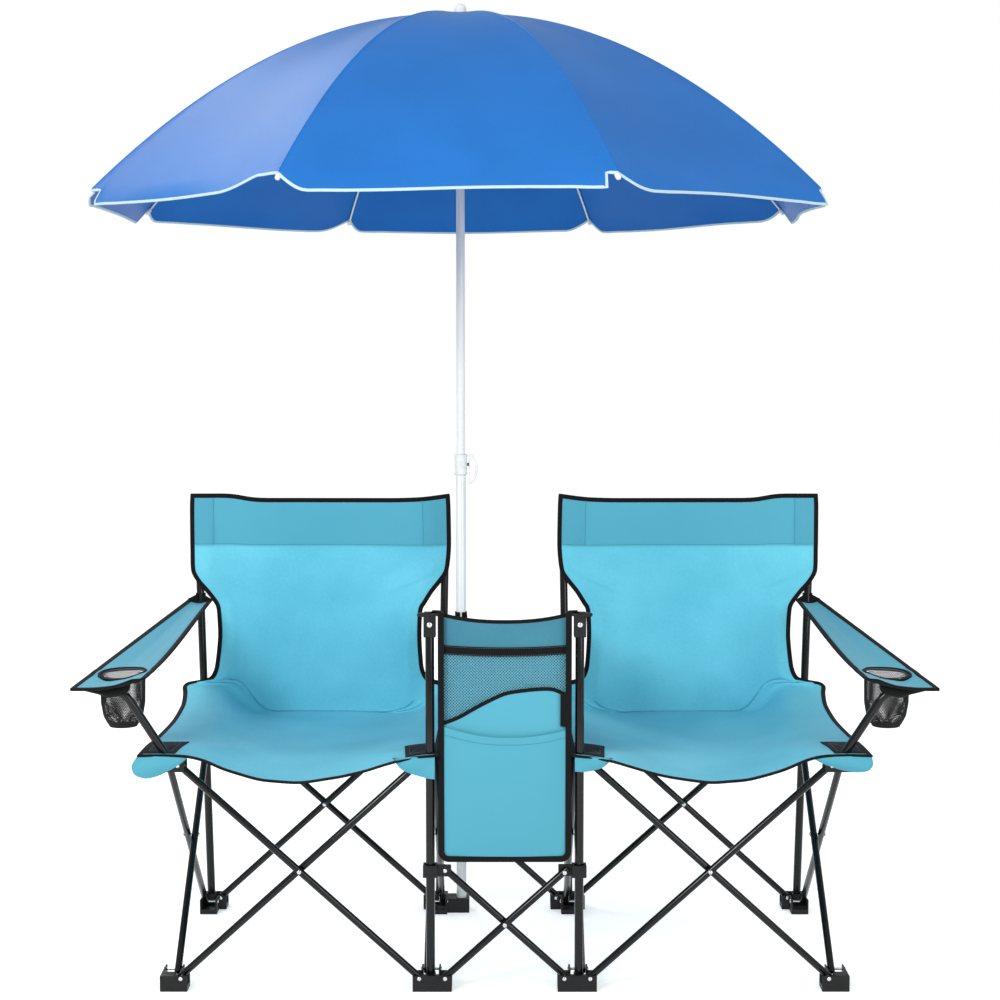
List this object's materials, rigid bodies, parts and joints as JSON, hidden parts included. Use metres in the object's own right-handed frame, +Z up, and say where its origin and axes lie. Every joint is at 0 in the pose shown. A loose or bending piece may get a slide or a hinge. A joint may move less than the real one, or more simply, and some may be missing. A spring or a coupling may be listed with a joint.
{
  "type": "umbrella chair",
  "caption": "Folding camp chair for two with sling seats, cloth arms with cup nets, a table bag between the seats and a lift-out parasol on a telescoping pole.",
  "frame": {"origin": "on the ground under the middle of the whole object", "axes": "+Z up along the pole, +Y to the back of the seats, +X to the sitter's left; the parasol stands at -X of the middle"},
  "size_m": [1.524, 1.3494, 1.8206],
  "materials": {
    "black_enamel": "gloss black enamel on steel tube",
    "black_plastic": "satin black moulded plastic",
    "seat_cloth": "turquoise woven polyester with black binding",
    "canopy_cloth": "blue woven polyester",
    "white_enamel": "gloss white enamel",
    "white_plastic": "white moulded plastic"
  },
  "bodies": {
    "frame": {"left_front_inner_leg": "black_plastic", "left_seat_sling": "seat_cloth", "table_bag": "seat_cloth"},
    "right_table_leg": {"right_front_inner_leg": "black_plastic", "right_seat_sling": "seat_cloth"},
    "left_front_brace_out": {"left_front_brace_out": "black_enamel"},
    "left_front_brace_in": {"left_front_brace_in": "black_enamel"},
    "left_front_outer_foot": {"left_front_outer_foot": "black_plastic"},
    "left_arm": {"left_arm_post": "black_plastic", "left_armrest": "seat_cloth"},
    "left_inner_side_brace_back": {"left_inner_side_brace_back": "black_enamel"},
    "left_inner_side_brace_front": {"left_inner_side_brace_front": "black_enamel"},
    "left_inner_back_post": {"left_inner_back_post": "black_plastic"},
    "left_rear_brace_out": {"left_rear_brace_out": "black_enamel"},
    "left_rear_brace_in": {"left_rear_brace_in": "black_enamel"},
    "left_outer_back_post": {"left_outer_back_post": "black_plastic"},
    "left_back_slider": {"left_back_slider": "black_plastic"},
    "left_outer_side_brace_front": {"left_outer_side_brace_front": "black_enamel"},
    "left_outer_side_brace_back": {"left_outer_side_brace_back": "black_enamel"},
    "centre_brace_left": {"centre_brace_left": "black_enamel"},
    "centre_brace_right": {"centre_brace_right": "black_enamel"},
    "left_centre_slider": {"left_centre_slider": "black_plastic"},
    "right_centre_slider": {"right_centre_slider": "black_plastic"},
    "right_front_brace_out": {"right_front_brace_out": "black_enamel"},
    "right_front_brace_in": {"right_front_brace_in": "black_enamel"},
    "right_front_outer_foot": {"right_front_outer_foot": "black_plastic"},
    "right_arm": {"right_arm_post": "black_plastic", "right_armrest": "seat_cloth"},
    "right_inner_side_brace_back": {"right_inner_side_brace_back": "black_enamel"},
    "right_inner_side_brace_front": {"right_inner_side_brace_front": "black_enamel"},
    "right_inner_back_post": {"right_inner_back_post": "black_plastic"},
    "right_rear_brace_out": {"right_rear_brace_out": "black_enamel"},
    "right_rear_brace_in": {"right_rear_brace_in": "black_enamel"},
    "right_outer_back_post": {"right_outer_back_post": "black_plastic"},
    "right_back_slider": {"right_back_slider": "black_plastic"},
    "right_outer_side_brace_front": {"right_outer_side_brace_front": "black_enamel"},
    "right_outer_side_brace_back": {"right_outer_side_brace_back": "black_enamel"},
    "centre_rear_link": {"centre_rear_link": "black_enamel"},
    "lower_pole": {"lower_pole": "white_enamel"},
    "pole_lock_pin": {"pole_lock_pin": "white_plastic"},
    "upper_pole": {"upper_pole": "white_enamel", "crown": "white_plastic", "canopy": "canopy_cloth"},
    "runner": {"runner": "white_plastic"},
    "rib_1": {"rib_1": "white_enamel"},
    "strut_1": {"strut_1": "white_enamel"},
    "rib_2": {"rib_2": "white_enamel"},
    "strut_2": {"strut_2": "white_enamel"},
    "rib_3": {"rib_3": "white_enamel"},
    "strut_3": {"strut_3": "white_enamel"},
    "rib_4": {"rib_4": "white_enamel"},
    "strut_4": {"strut_4": "white_enamel"},
    "rib_5": {"rib_5": "white_enamel"},
    "strut_5": {"strut_5": "white_enamel"},
    "rib_6": {"rib_6": "white_enamel"},
    "strut_6": {"strut_6": "white_enamel"},
    "rib_7": {"rib_7": "white_enamel"},
    "strut_7": {"strut_7": "white_enamel"},
    "rib_8": {"rib_8": "white_enamel"},
    "strut_8": {"strut_8": "white_enamel"}
  },
  "joints": [
    {"name": "frame_fold", "type": "hinge", "parent": "frame", "child": "left_front_brace_out", "pos_m": [-0.153, -0.482, 0.024], "axis": [0, 1, 0], "range_deg": [0, 37], "deforming": ["left_seat_sling", "right_seat_sling", "table_bag", "left_armrest", "right_armrest"]},
    {"name": "left_front_crossing", "type": "hinge", "parent": "left_front_brace_out", "child": "left_front_brace_in", "pos_m": [-0.3665, -0.482, 0.2175], "axis": [0, -1, 0], "range_deg": [0, 74]},
    {"name": "left_front_outer_foot_pivot", "type": "hinge", "parent": "left_front_brace_in", "child": "left_front_outer_foot", "pos_m": [-0.58, -0.482, 0.024], "axis": [0, 1, 0], "range_deg": [0, 37]},
    {"name": "left_front_seat_pivot", "type": "hinge", "parent": "left_front_brace_out", "child": "left_arm", "pos_m": [-0.58, -0.482, 0.411], "axis": [0, -1, 0], "range_deg": [0, 37]},
    {"name": "left_inner_side_foot_pivot", "type": "hinge", "parent": "frame", "child": "left_inner_side_brace_back", "pos_m": [-0.133, -0.44225, 0.024], "axis": [1, 0, 0], "range_deg": [0, 37]},
    {"name": "left_inner_side_crossing", "type": "hinge", "parent": "left_inner_side_brace_back", "child": "left_inner_side_brace_front", "pos_m": [-0.133, -0.22875, 0.2175], "axis": [-1, 0, 0], "range_deg": [0, 74]},
    {"name": "left_inner_rear_foot_pivot", "type": "hinge", "parent": "left_inner_side_brace_front", "child": "left_inner_back_post", "pos_m": [-0.133, -0.01525, 0.024], "axis": [1, 0, 0], "range_deg": [0, 37]},
    {"name": "left_rear_inner_foot_pivot", "type": "hinge", "parent": "left_inner_back_post", "child": "left_rear_brace_out", "pos_m": [-0.153, 0.0245, 0.024], "axis": [0, 1, 0], "range_deg": [0, 37]},
    {"name": "left_rear_crossing", "type": "hinge", "parent": "left_rear_brace_out", "child": "left_rear_brace_in", "pos_m": [-0.3665, 0.0245, 0.2175], "axis": [0, -1, 0], "range_deg": [0, 74]},
    {"name": "left_rear_outer_foot_pivot", "type": "hinge", "parent": "left_rear_brace_in", "child": "left_outer_back_post", "pos_m": [-0.58, 0.0245, 0.024], "axis": [0, 1, 0], "range_deg": [0, 37]},
    {"name": "left_rear_seat_pivot", "type": "hinge", "parent": "left_rear_brace_out", "child": "left_back_slider", "pos_m": [-0.58, 0.0245, 0.411], "axis": [0, -1, 0], "range_deg": [0, 37]},
    {"name": "left_outer_side_foot_pivot", "type": "hinge", "parent": "left_outer_back_post", "child": "left_outer_side_brace_front", "pos_m": [-0.6, -0.01525, 0.024], "axis": [-1, 0, 0], "range_deg": [0, 37]},
    {"name": "left_outer_side_crossing", "type": "hinge", "parent": "left_outer_side_brace_front", "child": "left_outer_side_brace_back", "pos_m": [-0.6, -0.22875, 0.2175], "axis": [1, 0, 0], "range_deg": [0, 74]},
    {"name": "centre_left_foot_pivot", "type": "hinge", "parent": "frame", "child": "centre_brace_left", "pos_m": [-0.10675, -0.482, 0.024], "axis": [0, -1, 0], "range_deg": [0, 37]},
    {"name": "centre_crossing", "type": "hinge", "parent": "centre_brace_left", "child": "centre_brace_right", "pos_m": [0, -0.482, 0.12075], "axis": [0, 1, 0], "range_deg": [0, 74]},
    {"name": "centre_right_foot_pivot", "type": "hinge", "parent": "centre_brace_right", "child": "right_table_leg", "pos_m": [0.10675, -0.482, 0.024], "axis": [0, -1, 0], "range_deg": [0, 37]},
    {"name": "left_centre_slider_pivot", "type": "hinge", "parent": "centre_brace_right", "child": "left_centre_slider", "pos_m": [-0.10675, -0.482, 0.2175], "axis": [0, -1, 0], "range_deg": [0, 37]},
    {"name": "right_centre_slider_pivot", "type": "hinge", "parent": "centre_brace_left", "child": "right_centre_slider", "pos_m": [0.10675, -0.482, 0.2175], "axis": [0, 1, 0], "range_deg": [0, 37]},
    {"name": "right_front_inner_foot_pivot", "type": "hinge", "parent": "right_table_leg", "child": "right_front_brace_out", "pos_m": [0.153, -0.482, 0.024], "axis": [0, -1, 0], "range_deg": [0, 37]},
    {"name": "right_front_crossing", "type": "hinge", "parent": "right_front_brace_out", "child": "right_front_brace_in", "pos_m": [0.3665, -0.482, 0.2175], "axis": [0, 1, 0], "range_deg": [0, 74]},
    {"name": "right_front_outer_foot_pivot", "type": "hinge", "parent": "right_front_brace_in", "child": "right_front_outer_foot", "pos_m": [0.58, -0.482, 0.024], "axis": [0, -1, 0], "range_deg": [0, 37]},
    {"name": "right_front_seat_pivot", "type": "hinge", "parent": "right_front_brace_out", "child": "right_arm", "pos_m": [0.58, -0.482, 0.411], "axis": [0, 1, 0], "range_deg": [0, 37]},
    {"name": "right_inner_side_foot_pivot", "type": "hinge", "parent": "right_table_leg", "child": "right_inner_side_brace_back", "pos_m": [0.133, -0.44225, 0.024], "axis": [1, 0, 0], "range_deg": [0, 37]},
    {"name": "right_inner_side_crossing", "type": "hinge", "parent": "right_inner_side_brace_back", "child": "right_inner_side_brace_front", "pos_m": [0.133, -0.22875, 0.2175], "axis": [-1, 0, 0], "range_deg": [0, 74]},
    {"name": "right_inner_rear_foot_pivot", "type": "hinge", "parent": "right_inner_side_brace_front", "child": "right_inner_back_post", "pos_m": [0.133, -0.01525, 0.024], "axis": [1, 0, 0], "range_deg": [0, 37]},
    {"name": "right_rear_inner_foot_pivot", "type": "hinge", "parent": "right_inner_back_post", "child": "right_rear_brace_out", "pos_m": [0.153, 0.0245, 0.024], "axis": [0, -1, 0], "range_deg": [0, 37]},
    {"name": "right_rear_crossing", "type": "hinge", "parent": "right_rear_brace_out", "child": "right_rear_brace_in", "pos_m": [0.3665, 0.0245, 0.2175], "axis": [0, 1, 0], "range_deg": [0, 74]},
    {"name": "right_rear_outer_foot_pivot", "type": "hinge", "parent": "right_rear_brace_in", "child": "right_outer_back_post", "pos_m": [0.58, 0.0245, 0.024], "axis": [0, -1, 0], "range_deg": [0, 37]},
    {"name": "right_rear_seat_pivot", "type": "hinge", "parent": "right_rear_brace_out", "child": "right_back_slider", "pos_m": [0.58, 0.0245, 0.411], "axis": [0, 1, 0], "range_deg": [0, 37]},
    {"name": "right_outer_side_foot_pivot", "type": "hinge", "parent": "right_outer_back_post", "child": "right_outer_side_brace_front", "pos_m": [0.6, -0.01525, 0.024], "axis": [-1, 0, 0], "range_deg": [0, 37]},
    {"name": "right_outer_side_crossing", "type": "hinge", "parent": "right_outer_side_brace_front", "child": "right_outer_side_brace_back", "pos_m": [0.6, -0.22875, 0.2175], "axis": [1, 0, 0], "range_deg": [0, 74]},
    {"name": "centre_rear_link_pivot", "type": "hinge", "parent": "right_inner_back_post", "child": "centre_rear_link", "pos_m": [0.10675, 0.0245, 0.024], "axis": [0, 1, 0], "range_deg": [0, 37]},
    {"name": "pole_lift_out", "type": "slide", "parent": "left_inner_back_post", "child": "lower_pole", "axis": [0, 0, 1], "range_m": [0, 0.1]},
    {"name": "lock_pin_pull", "type": "slide", "parent": "lower_pole", "child": "pole_lock_pin", "axis": [1, 0, 0], "range_m": [0, 0.006], "stiffness_N_per_m": 300},
    {"name": "pole_height", "type": "slide", "parent": "lower_pole", "child": "upper_pole", "axis": [0, 0, 1], "range_m": [-0.15, 0.12]},
    {"name": "canopy_runner", "type": "slide", "parent": "upper_pole", "child": "runner", "axis": [0, 0, 1], "range_m": [-0.47682, 0], "deforming": ["canopy"]},
    {"name": "rib_1_hinge", "type": "hinge", "parent": "upper_pole", "child": "rib_1", "pos_m": [-0.10509, -0.00727, 1.79286], "axis": [0.373, -0.9278, 0], "range_deg": [0, 61]},
    {"name": "strut_1_hinge", "type": "hinge", "parent": "rib_1", "child": "strut_1", "pos_m": [-0.40246, -0.12682, 1.71152], "axis": [-0.373, 0.9278, 0], "range_deg": [0, 122]},
    {"name": "rib_2_hinge", "type": "hinge", "parent": "upper_pole", "child": "rib_2", "pos_m": [-0.09465, -0.01794, 1.79286], "axis": [0.9198, -0.3923, 0], "range_deg": [0, 61]},
    {"name": "strut_2_hinge", "type": "hinge", "parent": "rib_2", "child": "strut_2", "pos_m": [-0.2204, -0.31274, 1.71152], "axis": [-0.9198, 0.3923, 0], "range_deg": [0, 122]},
    {"name": "rib_3_hinge", "type": "hinge", "parent": "upper_pole", "child": "rib_3", "pos_m": [-0.07973, -0.01809, 1.79286], "axis": [0.9278, 0.373, 0], "range_deg": [0, 61]},
    {"name": "strut_3_hinge", "type": "hinge", "parent": "rib_3", "child": "strut_3", "pos_m": [0.03982, -0.31546, 1.71152], "axis": [-0.9278, -0.373, 0], "range_deg": [0, 122]},
    {"name": "rib_4_hinge", "type": "hinge", "parent": "upper_pole", "child": "rib_4", "pos_m": [-0.06906, -0.00765, 1.79286], "axis": [0.3923, 0.9198, 0], "range_deg": [0, 61]},
    {"name": "strut_4_hinge", "type": "hinge", "parent": "rib_4", "child": "strut_4", "pos_m": [0.22574, -0.1334, 1.71152], "axis": [-0.3923, -0.9198, 0], "range_deg": [0, 122]},
    {"name": "rib_5_hinge", "type": "hinge", "parent": "upper_pole", "child": "rib_5", "pos_m": [-0.06891, 0.00727, 1.79286], "axis": [-0.373, 0.9278, 0], "range_deg": [0, 61]},
    {"name": "strut_5_hinge", "type": "hinge", "parent": "rib_5", "child": "strut_5", "pos_m": [0.22846, 0.12682, 1.71152], "axis": [0.373, -0.9278, 0], "range_deg": [0, 122]},
    {"name": "rib_6_hinge", "type": "hinge", "parent": "upper_pole", "child": "rib_6", "pos_m": [-0.07935, 0.01794, 1.79286], "axis": [-0.9198, 0.3923, 0], "range_deg": [0, 61]},
    {"name": "strut_6_hinge", "type": "hinge", "parent": "rib_6", "child": "strut_6", "pos_m": [0.04639, 0.31274, 1.71152], "axis": [0.9198, -0.3923, 0], "range_deg": [0, 122]},
    {"name": "rib_7_hinge", "type": "hinge", "parent": "upper_pole", "child": "rib_7", "pos_m": [-0.09427, 0.01809, 1.79286], "axis": [-0.9278, -0.373, 0], "range_deg": [0, 61]},
    {"name": "strut_7_hinge", "type": "hinge", "parent": "rib_7", "child": "strut_7", "pos_m": [-0.21382, 0.31546, 1.71152], "axis": [0.9278, 0.373, 0], "range_deg": [0, 122]},
    {"name": "rib_8_hinge", "type": "hinge", "parent": "upper_pole", "child": "rib_8", "pos_m": [-0.10494, 0.00765, 1.79286], "axis": [-0.3923, -0.9198, 0], "range_deg": [0, 61]},
    {"name": "strut_8_hinge", "type": "hinge", "parent": "rib_8", "child": "strut_8", "pos_m": [-0.39974, 0.1334, 1.71152], "axis": [0.3923, 0.9198, 0], "range_deg": [0, 122]}
  ],
  "couplings": [
    {"joint": "left_front_crossing", "follows": "frame_fold", "ratio": 2},
    {"joint": "left_front_outer_foot_pivot", "follows": "frame_fold", "ratio": 1},
    {"joint": "left_front_seat_pivot", "follows": "frame_fold", "ratio": 1},
    {"joint": "left_inner_side_foot_pivot", "follows": "frame_fold", "ratio": 1},
    {"joint": "left_inner_side_crossing", "follows": "frame_fold", "ratio": 2},
    {"joint": "left_inner_rear_foot_pivot", "follows": "frame_fold", "ratio": 1},
    {"joint": "left_rear_inner_foot_pivot", "follows": "frame_fold", "ratio": 1},
    {"joint": "left_rear_crossing", "follows": "frame_fold", "ratio": 2},
    {"joint": "left_rear_outer_foot_pivot", "follows": "frame_fold", "ratio": 1},
    {"joint": "left_rear_seat_pivot", "follows": "frame_fold", "ratio": 1},
    {"joint": "left_outer_side_foot_pivot", "follows": "frame_fold", "ratio": 1},
    {"joint": "left_outer_side_crossing", "follows": "frame_fold", "ratio": 2},
    {"joint": "centre_left_foot_pivot", "follows": "frame_fold", "ratio": 1},
    {"joint": "centre_crossing", "follows": "frame_fold", "ratio": 2},
    {"joint": "centre_right_foot_pivot", "follows": "frame_fold", "ratio": 1},
    {"joint": "left_centre_slider_pivot", "follows": "frame_fold", "ratio": 1},
    {"joint": "right_centre_slider_pivot", "follows": "frame_fold", "ratio": 1},
    {"joint": "right_front_inner_foot_pivot", "follows": "frame_fold", "ratio": 1},
    {"joint": "right_front_crossing", "follows": "frame_fold", "ratio": 2},
    {"joint": "right_front_outer_foot_pivot", "follows": "frame_fold", "ratio": 1},
    {"joint": "right_front_seat_pivot", "follows": "frame_fold", "ratio": 1},
    {"joint": "right_inner_side_foot_pivot", "follows": "frame_fold", "ratio": 1},
    {"joint": "right_inner_side_crossing", "follows": "frame_fold", "ratio": 2},
    {"joint": "right_inner_rear_foot_pivot", "follows": "frame_fold", "ratio": 1},
    {"joint": "right_rear_inner_foot_pivot", "follows": "frame_fold", "ratio": 1},
    {"joint": "right_rear_crossing", "follows": "frame_fold", "ratio": 2},
    {"joint": "right_rear_outer_foot_pivot", "follows": "frame_fold", "ratio": 1},
    {"joint": "right_rear_seat_pivot", "follows": "frame_fold", "ratio": 1},
    {"joint": "right_outer_side_foot_pivot", "follows": "frame_fold", "ratio": 1},
    {"joint": "right_outer_side_crossing", "follows": "frame_fold", "ratio": 2},
    {"joint": "centre_rear_link_pivot", "follows": "frame_fold", "ratio": 1},
    {"joint": "rib_1_hinge", "follows": "canopy_runner", "rad_per_m": -2.2328},
    {"joint": "strut_1_hinge", "follows": "canopy_runner", "rad_per_m": -4.4656},
    {"joint": "rib_2_hinge", "follows": "canopy_runner", "rad_per_m": -2.2328},
    {"joint": "strut_2_hinge", "follows": "canopy_runner", "rad_per_m": -4.4656},
    {"joint": "rib_3_hinge", "follows": "canopy_runner", "rad_per_m": -2.2328},
    {"joint": "strut_3_hinge", "follows": "canopy_runner", "rad_per_m": -4.4656},
    {"joint": "rib_4_hinge", "follows": "canopy_runner", "rad_per_m": -2.2328},
    {"joint": "strut_4_hinge", "follows": "canopy_runner", "rad_per_m": -4.4656},
    {"joint": "rib_5_hinge", "follows": "canopy_runner", "rad_per_m": -2.2328},
    {"joint": "strut_5_hinge", "follows": "canopy_runner", "rad_per_m": -4.4656},
    {"joint": "rib_6_hinge", "follows": "canopy_runner", "rad_per_m": -2.2328},
    {"joint": "strut_6_hinge", "follows": "canopy_runner", "rad_per_m": -4.4656},
    {"joint": "rib_7_hinge", "follows": "canopy_runner", "rad_per_m": -2.2328},
    {"joint": "strut_7_hinge", "follows": "canopy_runner", "rad_per_m": -4.4656},
    {"joint": "rib_8_hinge", "follows": "canopy_runner", "rad_per_m": -2.2328},
    {"joint": "strut_8_hinge", "follows": "canopy_runner", "rad_per_m": -4.4656}
  ]
}
